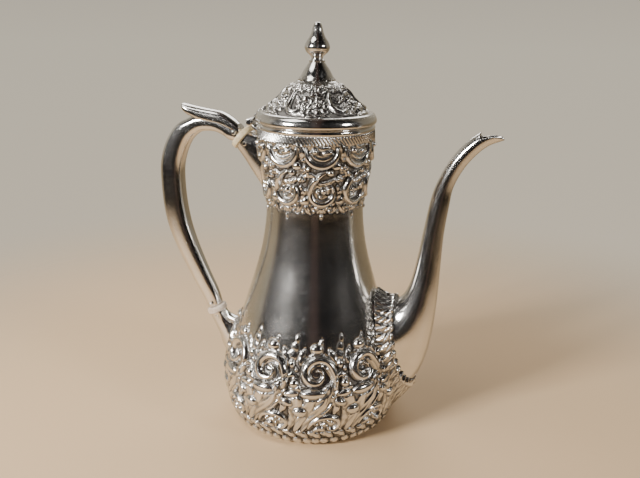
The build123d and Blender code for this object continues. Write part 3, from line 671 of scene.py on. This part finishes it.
SPOUT = Horn([
    (38.0, 86.0, 50.5, 8.0, 16.5), (45.5, 81.6, 58.0, 17.0, 16.5), (51.3, 80.4, 66.0, 29.5, 15.6),
    (55.4, 83.0, 71.8, 43.5, 14.2), (58.6, 88.4, 75.2, 62.5, 12.0), (61.2, 96.6, 76.8, 84.5, 9.4),
    (63.9, 110.5, 77.3, 106.0, 7.2), (66.3, 126.8, 77.9, 124.0, 6.1), (69.1, 144.2, 79.7, 141.0, 5.4),
    (72.4, 155.5, 81.2, 151.5, 5.0), (78.3, 167.7, 85.6, 161.9, 4.7), (85.5, 177.2, 91.5, 170.3, 4.6),
    (93.4, 184.0, 98.4, 176.8, 4.6), (102.8, 187.8, 106.6, 180.6, 4.5),
])
# how far along its sections the spout's cut lip is, from the upper side (0) to the lower (180)
SPOUT_END = smooth_table([0, 30, 60, 75, 85, 95, 110, 130, 180],
                         [12.05, 11.97, 11.93, 12.0, 12.22, 12.5, 12.75, 12.95, 13.0])


def build_spout():
    columns = 96
    angles = np.arange(columns) / columns * TAU
    fold = np.degrees(np.minimum(angles, TAU - angles))
    end = SPOUT_END(fold)
    rows = 220
    t = np.linspace(0, 1, rows)[:, None]
    s = t * end[None, :]
    outer = in_body(SPOUT.at(s, angles[None, :]))
    edge = SPOUT.at(end[None, :], angles[None, :], growth=-0.3)
    inner = in_body(SPOUT.at(s[::-1], angles[None, :], growth=-0.8), 0.8)
    grid = np.concatenate([outer, edge + (0.15, 0, 0.12), inner])
    stands_for(wrapped("spout", grid, POLISHED, close_rows=True), "pot", "spout_tube")


# the same for the edge of the leaf round the spout's root
LEAF_END = smooth_table([0, 30, 45, 60, 75, 90, 105, 120, 135, 150, 180],
                        [2.2, 2.12, 1.95, 1.75, 1.6, 1.55, 1.62, 1.72, 1.82, 1.92, 2.0])


def build_spout_leaf():
    """An applied leaf round the root of the spout, with ruffled lobes and a scalloped edge."""
    columns = 288
    angles = np.arange(columns) / columns * TAU
    fold = np.degrees(np.minimum(angles, TAU - angles))
    lobes = 17
    place = fold / 180 * lobes
    cell = np.floor(place)
    across = (place - cell) * 2 - 1
    swing = rng.uniform(-1, 1, lobes + 1)[cell.astype(int)]
    end = LEAF_END(fold) + 0.20 * (1 - across ** 2) - 0.10 + 0.05 * swing
    rows = 110
    t = np.linspace(0, 1, rows)[:, None]
    s = 0.3 + t * (end[None, :] - 0.3)
    a, w = across[None, :], swing[None, :]
    lobe = 1.0 - a ** 2
    feather = np.sin(TAU * (2.6 * t + 0.9 * a + 0.5 * w) + 1.6 * np.sin(4 * t + 3 * w))
    curl = np.exp(-((t - 0.90 - 0.03 * w) / 0.07) ** 2)
    fold_line = np.exp(-((np.abs(a) - 0.15 - 0.4 * (1 - t)) / 0.16) ** 2)
    rough = 0.2 + 0.9 * lobe ** 0.7 + 0.42 * feather * (0.3 + lobe) + 0.9 * curl + 0.4 * fold_line
    rough = rough * np.clip((1 - t) * 14 + 0.35, 0, 1)
    outer = in_body(SPOUT.at(s, angles[None, :], growth=0.5), -0.4)
    flat = SPOUT.at(s, angles[None, :])
    lifted = SPOUT.at(s, angles[None, :], growth=1.0)
    outward = lifted - flat
    outward /= np.maximum(np.linalg.norm(outward, axis=-1, keepdims=True), 1e-6)
    outer = outer + outward * rough[..., None]
    inner = in_body(SPOUT.at(s[::-1], angles[None, :], growth=-0.1), 0.2)
    # painted shade: the low parts between the lobes and ruffles darker in colour, and the inside darker too
    painted_recess_shade = np.clip(1.15 - 0.75 * rough, 0, 1) * np.ones_like(s)
    grid = np.concatenate([outer, inner])
    zeros = np.zeros_like(s)
    piece = wrapped("spout_leaf", grid, CHASED, close_rows=True, attributes={
        "painted_recess_shade": np.concatenate([painted_recess_shade, zeros + 0.3]),
        "ground": np.concatenate([zeros, zeros]),
    })
    stands_for(piece, "pot", "spout_leaf_mount")


def swept(name, horn, node, rows=120, columns=72, into_body=False):
    """A polished piece of the pot along a horn, from its first section to its last."""
    angles = np.arange(columns) / columns * TAU
    s = np.linspace(0, horn.count - 1, rows)[:, None] + np.zeros((1, columns))
    grid = horn.at(s, angles[None, :])
    if into_body:
        grid = in_body(grid)
    stands_for(wrapped(name, grid, POLISHED), "pot", node)


HANDLE = Horn([
    (-51.2, 178.9, -43.6, 169.6, 5.7), (-54.4, 181.3, -52.9, 170.6, 5.7), (-58.4, 183.4, -57.0, 173.0, 5.7),
    (-62.8, 184.8, -62.2, 175.1, 5.6), (-67.8, 185.6, -67.5, 175.4, 5.6), (-74.6, 184.9, -72.8, 174.5, 5.6),
    (-82.0, 182.2, -77.7, 171.1, 5.7), (-89.6, 177.6, -81.3, 166.2, 5.9), (-96.4, 167.8, -84.3, 159.1, 6.2),
    (-100.5, 154.8, -86.2, 150.5, 6.5), (-100.9, 140.0, -86.2, 137.6, 6.5),
    (-99.8, 125.0, -84.9, 125.4, 6.4), (-97.2, 112.5, -82.6, 114.2, 6.1), (-92.4, 99.8, -79.2, 103.6, 5.7),
    (-86.8, 88.4, -74.8, 92.4, 5.3), (-81.2, 77.2, -70.0, 81.4, 4.9), (-75.6, 67.6, -65.4, 71.6, 4.6),
    (-71.4, 58.8, -62.6, 63.0, 4.4),
], power=2.6)


THUMB = Horn([
    (-47.7, 180.6, -45.2, 172.6, 4.6), (-52.8, 184.5, -51.0, 174.8, 5.2), (-59.2, 187.6, -57.8, 177.4, 5.6),
    (-67.0, 188.8, -66.6, 179.2, 5.8), (-72.6, 189.6, -72.0, 180.5, 6.0), (-77.4, 190.4, -76.4, 182.6, 6.1),
    (-81.2, 191.1, -79.8, 184.2, 6.0), (-83.6, 191.5, -82.2, 185.9, 5.4), (-84.4, 191.4, -83.2, 187.2, 4.6),
], power=2.5)

UPPER_SOCKET = Horn([
    (-39.9, 177.2, -49.0, 166.4, 6.3), (-36.4, 176.6, -44.6, 160.6, 6.1), (-32.0, 176.0, -38.6, 151.6, 6.0),
    (-26.0, 176.0, -31.0, 141.0, 6.0),
], power=2.4)
LOWER_SOCKET = Horn([
    (-60.2, 59.4, -70.2, 54.5, 5.3), (-57.4, 54.0, -67.6, 48.8, 5.2), (-53.4, 50.4, -64.0, 41.2, 5.6),
    (-47.0, 48.8, -60.6, 31.6, 7.0), (-40.0, 48.0, -52.0, 24.0, 8.0),
], power=2.2)
FORK_LEAF = Horn([
    (-59.0, 58.2, -60.2, 56.6, 0.9), (-56.2, 55.6, -58.4, 52.6, 2.6), (-52.6, 54.6, -53.4, 50.6, 3.8),
    (-46.0, 55.6, -46.4, 49.4, 4.6),
])


def build_heat_break(name, centre, along, radius, node, material):
    """A rounded disc square to the handle, with its tenons."""
    half = 1.9
    face = curve_through([(radius - 0.8, -half), (radius - 0.2, -half * 0.8), (radius, -half * 0.4),
                          (radius, half * 0.4), (radius - 0.2, half * 0.8), (radius - 0.8, half)], 20)
    profile = [(0.02, -7.4), (3.0, -7.4), (3.0, -half), *face, (3.0, half), (3.0, 7.4), (0.02, 7.4)]
    grid = turned_grid(profile, 64)
    direction = np.array([along[0], 0, along[1]])
    direction /= np.linalg.norm(direction)
    side = np.array([0, 1, 0])
    third = np.cross(side, direction)
    placed = (grid[..., :1] * third + grid[..., 1:2] * side + grid[..., 2:] * direction
              + np.array([centre[0], 0, centre[1]]))
    stands_for(wrapped(name, placed, material), "pot", node)


# ------------------------------------------------------------------ lid
LID_OUTLINE = [
    (33.2, 184.5), (32.9, 187.6), (31.2, 190.2), (28.6, 192.2), (24.8, 195.0), (21.2, 198.4),
    (18.9, 201.6), (15.0, 205.2), (10.6, 208.5), (6.0, 210.6), (1.7, 211.0),
]
LID_UNITS = 6
LID_WIDTH = 24.0          # a sixth turn, at the radius where the rosettes are centred
LID_AZIMUTH = 17.5


def lid_relief():
    """A rosette, a C-scroll and leaves, over distance up the lid's slope."""
    r = Relief(LID_WIDTH, 0.0, 36.0)
    # leaves under the collar, and those that reach down over the smooth edge
    for u in (-8.0, 0.0, 8.0):
        r.leaf([(u - 3.6, 25.4), (u - 0.4, 28.0), (u + 3.4, 26.6)], [0.9, 2.2, 0.8], 1.2, ribs=3)
        r.dome(u + 4.0, 29.6, 1.9, 1.5, 1.0)
    r.leaf([(-4.4, 7.6), (0.6, 8.8), (5.0, 7.4)], [1.0, 2.6, 0.8], 1.3, ribs=3)
    r.leaf([(-11.4, 9.6), (-8.2, 10.8), (-5.6, 9.0)], [0.8, 2.0, 0.7], 1.1, ribs=2)
    # rosette
    for i in range(8):
        a = math.radians(45 * i)
        r.dome(4.4 * math.cos(a), 16.0 + 4.2 * math.sin(a), 2.7, 1.6, 1.2, turn=45 * i, groove=0.5, rim=0.7)
    r.dome(0.0, 16.0, 2.9, 2.7, 1.6, groove=0.6)
    r.dome(0.0, 16.0, 1.5, 1.4, 2.6, groove=0.5, rim=0.6)
    # C-scroll with its own leaf
    r.roll([(8.0, 26.0), (7.2, 20.5), (7.8, 15.0), (10.6, 11.2), (14.0, 11.4), (14.8, 14.0), (13.0, 15.4)],
           [0.7, 1.3, 1.6, 1.6, 1.4, 1.1, 0.7], 1.9, groove=0.7)
    r.leaf([(10.2, 22.4), (12.6, 19.4), (15.6, 19.0)], [0.8, 2.0, 0.7], 1.2, ribs=2)
    # small flower and bosses
    for i in range(5):
        a = math.radians(72 * i + 10)
        r.dome(-8.0 + 1.8 * math.cos(a), 15.4 + 1.7 * math.sin(a), 1.2, 1.1, 1.1, groove=0.4, rim=0.5)
    r.dome(-8.0, 15.4, 0.9, 0.9, 1.6, groove=0.4, rim=0.5)
    r.dome(-7.4, 20.8, 2.4, 1.6, 1.3, turn=-20)
    r.leaf([(-4.4, 22.4), (-0.6, 23.6), (3.8, 22.2)], [0.8, 1.9, 0.7], 1.2, ribs=2)
    r.soften(1)
    return r


def build_lid():
    columns = 480
    line = curve_through(LID_OUTLINE, 150)
    normal = normals_of(line)
    run = np.concatenate([[0], np.cumsum(np.linalg.norm(np.diff(line, axis=0), axis=1))])
    angle = np.arange(columns) / columns * TAU
    azimuth = np.degrees(angle) + 90.0
    cell = lid_relief()
    v = np.broadcast_to(run[:, None], (len(line), columns))
    u = (azimuth - LID_AZIMUTH)[None, :] / (360 / LID_UNITS) * LID_WIDTH + np.zeros_like(v)
    scallops = 5.0 + 1.6 * np.abs(np.sin(math.pi * u / LID_WIDTH))
    shown = np.clip((v - scallops) / 1.2, 0, 1) * np.clip((31.0 - v) / 2.0, 0, 1)
    ground = cell.sample("ground", u, v) * shown
    height = (cell.sample("h", u, v) - 0.35 * ground) * shown * 0.85
    # painted shade: grooves, clefts and the matted ground darkened in colour
    dark = np.clip(cell.sample("dark", u, v) * shown + 0.62 * ground, 0, 1)
    r = line[:, :1] + height * normal[:, :1]
    z = line[:, 1:] + height * normal[:, 1:]
    outer = np.stack([r * np.cos(angle), r * np.sin(angle), z], axis=-1)
    inside = np.array(line[::-3]) - 0.9 * normal[::-3]
    inside[0] = (1.7, 210.1)
    inside[-1] = (32.3, 184.5)
    inner = turned_grid(inside, columns)
    grid = np.concatenate([outer, inner])
    blank = np.zeros((len(inner), columns))
    # painted shade over the inside of the lid
    piece = wrapped("lid_shell", grid, CHASED, close_rows=True, attributes={
        "painted_recess_shade": np.concatenate([dark, blank + 0.25]),
        "ground": np.concatenate([ground, blank]),
    })
    stands_for(piece, "lid", "lid_dome")


def turned_along_y(name, centre, profile, body, columns=48):
    """A piece turned round a line parallel to Y; profile is (radius, y) pairs."""
    grid = turned_grid(profile, columns)
    placed = np.stack([grid[..., 0] + centre[0], grid[..., 2], grid[..., 1] + centre[1]], axis=-1)
    piece = wrapped(name, placed, POLISHED)
    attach(piece, body)
    return piece


def ringed_barrel(y_low, y_high, radius, beads):
    """A knuckle's outline with a rounded bead at each ring."""
    y = np.linspace(y_low, y_high, 12 * beads + 1)
    share = (y - y_low) / (y_high - y_low)
    swell = radius - 0.35 + 0.35 * np.abs(np.sin(math.pi * beads * share)) ** 0.6
    swell[0] = swell[-1] = radius - 0.6
    return [(0.02, y_low), *zip(swell, y), (0.02, y_high)]


HINGE = (-38.6, 183.1)    # x and z of the pin
BRACKET = Horn([
    (-38.0, 183.4, -39.0, 180.8, 6.4), (-36.8, 182.6, -37.4, 178.8, 7.0),
    (-34.6, 181.6, -35.4, 177.0, 7.4), (-31.5, 180.6, -32.5, 175.6, 7.6),
], power=3.0)


def build_hinge():
    """Two knuckles and their bracket on the pot, with the lid's knuckle between them."""
    outer = [turned_along_y(f"pot_knuckle_{side}", HINGE, ringed_barrel(low, low + 4.7, 2.4, 2), "pot")
             for side, low in (("left", 3.3), ("right", -8.0))]
    turned_along_y("lid_knuckle", HINGE, ringed_barrel(-3.0, 3.0, 2.3, 1), "lid")
    swept("hinge_bracket", BRACKET, "body_hinge_leaf", rows=40, into_body=True)
    for knuckle in outer:
        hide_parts("body_hinge_leaf")


def build_lid_strap():
    """A leaf that runs up the lid from the hinge, with lobes along its sides and a raised midrib."""
    top = [(-38.4, 185.4), (-36.8, 187.9), (-34.6, 190.2), (-31.4, 192.2), (-28.6, 193.8)]
    low = [(-37.4, 184.6), (-35.2, 186.4), (-33.2, 188.8), (-30.6, 190.6), (-28.2, 192.4)]
    upper, lower = curve_through(top, 60), curve_through(low, 60)
    t = np.linspace(0, 1, 60)
    half = 3.0 + 2.2 * np.sin(math.pi * np.clip(t * 1.05, 0, 1)) ** 0.8 * (1 - 0.3 * t)
    half = half * (0.82 + 0.18 * np.abs(np.sin(3.5 * math.pi * t))) * np.clip((1.02 - t) * 5, 0.1, 1)
    columns = 48
    angles = np.arange(columns) / columns * TAU
    grid = section_points(upper, lower, half, angles[None, :], power=2.4)
    rib = 0.35 * np.abs(np.cos(angles * 3.5))[None, :] * np.abs(np.sin(3.5 * math.pi * t))[:, None]
    grid[..., 2] += rib * (np.cos(angles) > 0)
    piece = wrapped("hinge_leaf", grid, POLISHED)
    stands_for(piece, "lid", "lid_hinge_leaf")


def build_lid_band():
    face = curve_through([(33.4, 184.55), (34.5, 184.9), (35.1, 186.0), (34.9, 187.6), (34.1, 189.3),
                          (32.6, 190.6), (31.2, 191.0)], 30)
    turned("lid_band", [*face, (30.6, 190.0), (31.0, 188.0), (31.6, 184.6)], "lid", "lid_rim")


def build_finial():
    collar = curve_through([(11.0, 208.7), (9.3, 210.6), (7.5, 213.9), (5.3, 217.1), (4.4, 218.4)], 30)
    inner = collar[::-2] - (0.8, 0.0)
    turned("finial_cone", [*collar, (3.9, 218.7), *inner], "lid", "finial_collar", columns=128)
    knob = curve_through([
        (4.5, 218.5), (4.7, 218.9), (4.3, 219.4), (3.4, 220.2), (3.4, 221.2), (4.4, 222.2), (5.9, 223.5),
        (6.7, 224.7), (6.9, 225.3), (7.15, 225.7), (7.2, 226.8), (6.9, 228.1), (6.0, 229.9), (4.6, 231.9),
        (3.5, 234.4), (2.8, 237.0), (2.2, 238.7), (1.3, 239.7), (0.03, 240.0)], 90)
    profile = [(0.03, 205.9), (1.5, 205.9), (1.5, 218.2), *knob]
    turned("finial_knob", profile, "lid", "finial", columns=128, closed=False)


# ------------------------------------------------------------------ build
build_body()
build_mouth_band()
build_spout()
build_spout_leaf()
swept("handle", HANDLE, "handle_tube", rows=200, columns=96)
swept("thumb_leaf", THUMB, "thumb_rest", rows=80, columns=64)
swept("upper_horn", UPPER_SOCKET, "upper_socket", into_body=True)
swept("lower_horn", LOWER_SOCKET, "lower_socket", into_body=True)
swept("fork_leaf", FORK_LEAF, "lower_socket_leaf", into_body=True)
build_heat_break("upper_heat_break", (-45.9, 173.0), (-0.765, 0.644), 8.1, "upper_insulator", IVORY)
build_heat_break("lower_heat_break", (-66.0, 58.6), (0.42, -0.908), 6.5, "lower_insulator", IVORY_PALE)
build_lid()
build_lid_band()
build_finial()
build_hinge()
build_lid_strap()

POLISHED_NODES = ["bottom_plate", "hinge_pin", "upper_insulator_pins", "lower_insulator_pins"]
INSIDE_NODES = ["spout_strainer", "lid_bezel", "finial_washer", "finial_nut"]
for names, material in ((POLISHED_NODES, POLISHED), (INSIDE_NODES, INSIDE)):
    for node in names:
        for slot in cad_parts[node].material_slots:
            slot.material = material


# ------------------------------------------------------------------ stage
def plain(name, colour, roughness):
    mat = bpy.data.materials.new(name)
    mat.use_nodes = True
    shader = mat.node_tree.nodes["Principled BSDF"]
    value_at(shader, "Base Color", (*colour, 1))
    value_at(shader, "Roughness", roughness)
    return mat


def build_floor():
    """A pale floor round the pot that fades out into the background."""
    steps, radius = 96, 900
    turns = [TAU * i / steps for i in range(steps)]
    ring = [(radius * math.cos(a), radius * math.sin(a), 0) for a in turns]
    material = plain("warm_floor", (0.72, 0.51, 0.30), 0.7)
    nt = material.node_tree
    shader, out = nt.nodes["Principled BSDF"], nt.nodes["Material Output"]
    coord = add(nt, "TexCoord")
    reach = add(nt, "VectorMath")
    reach.operation = "LENGTH"
    nt.links.new(coord.outputs["Object"], reach.inputs[0])
    edge = add(nt, "MapRange")
    edge.interpolation_type = "SMOOTHSTEP"
    value_at(edge, "From Min", 0.16)
    value_at(edge, "From Max", 0.52)
    nt.links.new(reach.outputs["Value"], edge.inputs["Value"])
    clear = add(nt, "BsdfTransparent")
    mix = add(nt, "MixShader")
    nt.links.new(edge.outputs["Result"], mix.inputs["Fac"])
    nt.links.new(shader.outputs[0], mix.inputs[1])
    nt.links.new(clear.outputs[0], mix.inputs[2])
    nt.links.new(mix.outputs[0], out.inputs["Surface"])
    floor = make_object("floor", np.array(ring), [tuple(range(steps))], material)
    floor.location.z = -0.0002


VIEW_YAW = 16.0           # how far round the pot the camera and the room are turned


def turned_axis(nt, split, direction):
    """How far a direction of the room points along a horizontal one."""
    first = add(nt, "Math")
    first.operation = "MULTIPLY"
    first.inputs[1].default_value = direction[0]
    nt.links.new(split.outputs["X"], first.inputs[0])
    both = add(nt, "Math")
    both.operation = "MULTIPLY_ADD"
    both.inputs[1].default_value = direction[1]
    nt.links.new(split.outputs["Y"], both.inputs[0])
    nt.links.new(first.outputs[0], both.inputs[2])
    return both.outputs[0]


def ramp_over(nt, value, low, high, stops):
    """A colour ramp over a value between two limits."""
    spread = add(nt, "MapRange", {"From Min": low, "From Max": high})
    nt.links.new(value, spread.inputs["Value"])
    ramp = add(nt, "ValToRGB")
    elements = ramp.color_ramp.elements
    elements[0].position, elements[0].color = stops[0][0], (*stops[0][1], 1)
    elements[1].position, elements[1].color = stops[-1][0], (*stops[-1][1], 1)
    for position, colour in stops[1:-1]:
        elements.new(position).color = (*colour, 1)
    nt.links.new(spread.outputs["Result"], ramp.inputs["Fac"])
    return ramp.outputs["Color"]


def mixed(nt, how, factor, a, b):
    node = add(nt, "Mix")
    node.data_type = "RGBA"
    node.blend_type = how
    node.inputs["Factor"].default_value = factor
    nt.links.new(a, node.inputs["A"])
    nt.links.new(b, node.inputs["B"])
    return node.outputs["Result"]


def build_world():
    """A dark room in front of the pot and a pale wall behind it; the camera sees a backdrop painted lighter
    low down and darker towards the top, a painted falloff of light on the wall.
    """
    world = bpy.data.worlds.new("room")
    bpy.context.scene.world = world
    world.use_nodes = True
    nt = world.node_tree
    nt.nodes.clear()
    out = add(nt, "OutputWorld")
    coord = add(nt, "TexCoord")
    split = add(nt, "SeparateXYZ")
    nt.links.new(coord.outputs["Generated"], split.inputs[0])
    a = math.radians(VIEW_YAW)
    depth = turned_axis(nt, split, (-math.sin(a), math.cos(a)))
    across = turned_axis(nt, split, (math.cos(a), math.sin(a)))

    dark = (0.012, 0.012, 0.013)
    wall = ramp_over(nt, depth, -1, 1, [
        (0.0, dark), (0.44, (0.020, 0.019, 0.019)), (0.50, (0.11, 0.10, 0.09)),
        (0.56, (0.42, 0.39, 0.33)),
        (0.72, (0.50, 0.46, 0.38)), (1.0, (0.60, 0.55, 0.45))])
    height = ramp_over(nt, split.outputs["Z"], -1, 1, [
        (0.0, (0.55, 0.42, 0.28)), (0.46, (0.8, 0.7, 0.55)), (0.54, (1, 1, 1)), (0.72, (0.9, 0.9, 0.9)),
        (0.90, (0.22, 0.22, 0.22)), (1.0, (0.10, 0.10, 0.10))])
    stripe = ramp_over(nt, across, -1, 1, [
        (0.0, (0, 0, 0)), (0.42, (0.004, 0.004, 0.004)), (0.46, (0.045, 0.028, 0.024)),
        (0.55, (0.052, 0.032, 0.027)), (0.59, (0.004, 0.004, 0.004)), (1.0, (0, 0, 0))])
    side = ramp_over(nt, across, -1, 1, [
        (0.0, (1.0, 1.0, 1.0)), (0.5, (0.95, 0.95, 0.95)), (0.8, (0.58, 0.56, 0.52)),
        (1.0, (0.5, 0.48, 0.45))])
    lit = mixed(nt, "MULTIPLY", 1.0, mixed(nt, "MULTIPLY", 1.0, wall, height), side)
    tone = mixed(nt, "ADD", 1.0, lit, stripe)

    # painted light falloff: the backdrop is lighter low down and darker towards the top
    seen = add(nt, "Background")
    nt.links.new(ramp_over(nt, split.outputs["Z"], -1, 1, [
        (0.0, (0.66, 0.56, 0.42)), (0.36, (0.68, 0.59, 0.46)), (0.48, (0.62, 0.56, 0.45)),
        (0.56, (0.47, 0.43, 0.35)), (1.0, (0.38, 0.35, 0.29))]), seen.inputs["Color"])
    room = add(nt, "Background")
    nt.links.new(tone, room.inputs["Color"])
    path = add(nt, "LightPath")
    mix = add(nt, "MixShader")
    nt.links.new(path.outputs["Is Camera Ray"], mix.inputs["Fac"])
    nt.links.new(room.outputs[0], mix.inputs[1])
    nt.links.new(seen.outputs[0], mix.inputs[2])
    nt.links.new(mix.outputs[0], out.inputs["Surface"])


def soft_light(name, azimuth, elevation, distance, size, power, colour=(1, 0.97, 0.93), aim=(0, 0, 0.11)):
    """A square soft light round the pot; azimuth 0 is in front, at -Y, and 90 is at +X."""
    data = bpy.data.lights.new(name, "AREA")
    data.shape = "RECTANGLE"
    data.size, data.size_y = size
    data.energy = power
    data.color = colour
    lamp = bpy.data.objects.new(name, data)
    bpy.context.scene.collection.objects.link(lamp)
    a, e = math.radians(azimuth), math.radians(elevation)
    back = np.array([math.sin(a) * math.cos(e), -math.cos(a) * math.cos(e), math.sin(e)])
    lamp.location = np.array(aim) + back * distance
    lamp.rotation_mode = "QUATERNION"
    lamp.rotation_quaternion = Vector(-back).to_track_quat("-Z", "Y")


def build_camera():
    """A camera turned round the pot, then moved back and up, tilted down and rolled."""
    data = bpy.data.cameras.new("camera")
    data.sensor_width = 36.0
    data.lens = 39.375
    camera = bpy.data.objects.new("camera", data)
    bpy.context.scene.collection.objects.link(camera)
    bpy.context.scene.camera = camera
    yaw, pitch, roll = math.radians(VIEW_YAW), math.radians(17.78), math.radians(1.0)
    side, back, up = 3.39 * MM, 407.87 * MM, 243.89 * MM
    turn = Matrix.Rotation(yaw, 4, "Z")
    place = turn @ Matrix.Translation((side, -back, up))
    tilt = Matrix.Rotation(math.pi / 2 - pitch, 4, "X")
    camera.matrix_world = place @ tilt @ Matrix.Rotation(roll, 4, "Z")


build_floor()
build_world()
soft_light("key", -38, 22, 1.1, (0.26, 0.16), 20)
soft_light("side", 76, 24, 1.2, (0.22, 0.14), 4)
soft_light("top", -60, 62, 1.2, (0.5, 0.5), 4)
soft_light("back", 195, 40, 1.3, (1.0, 0.6), 7)
build_camera()
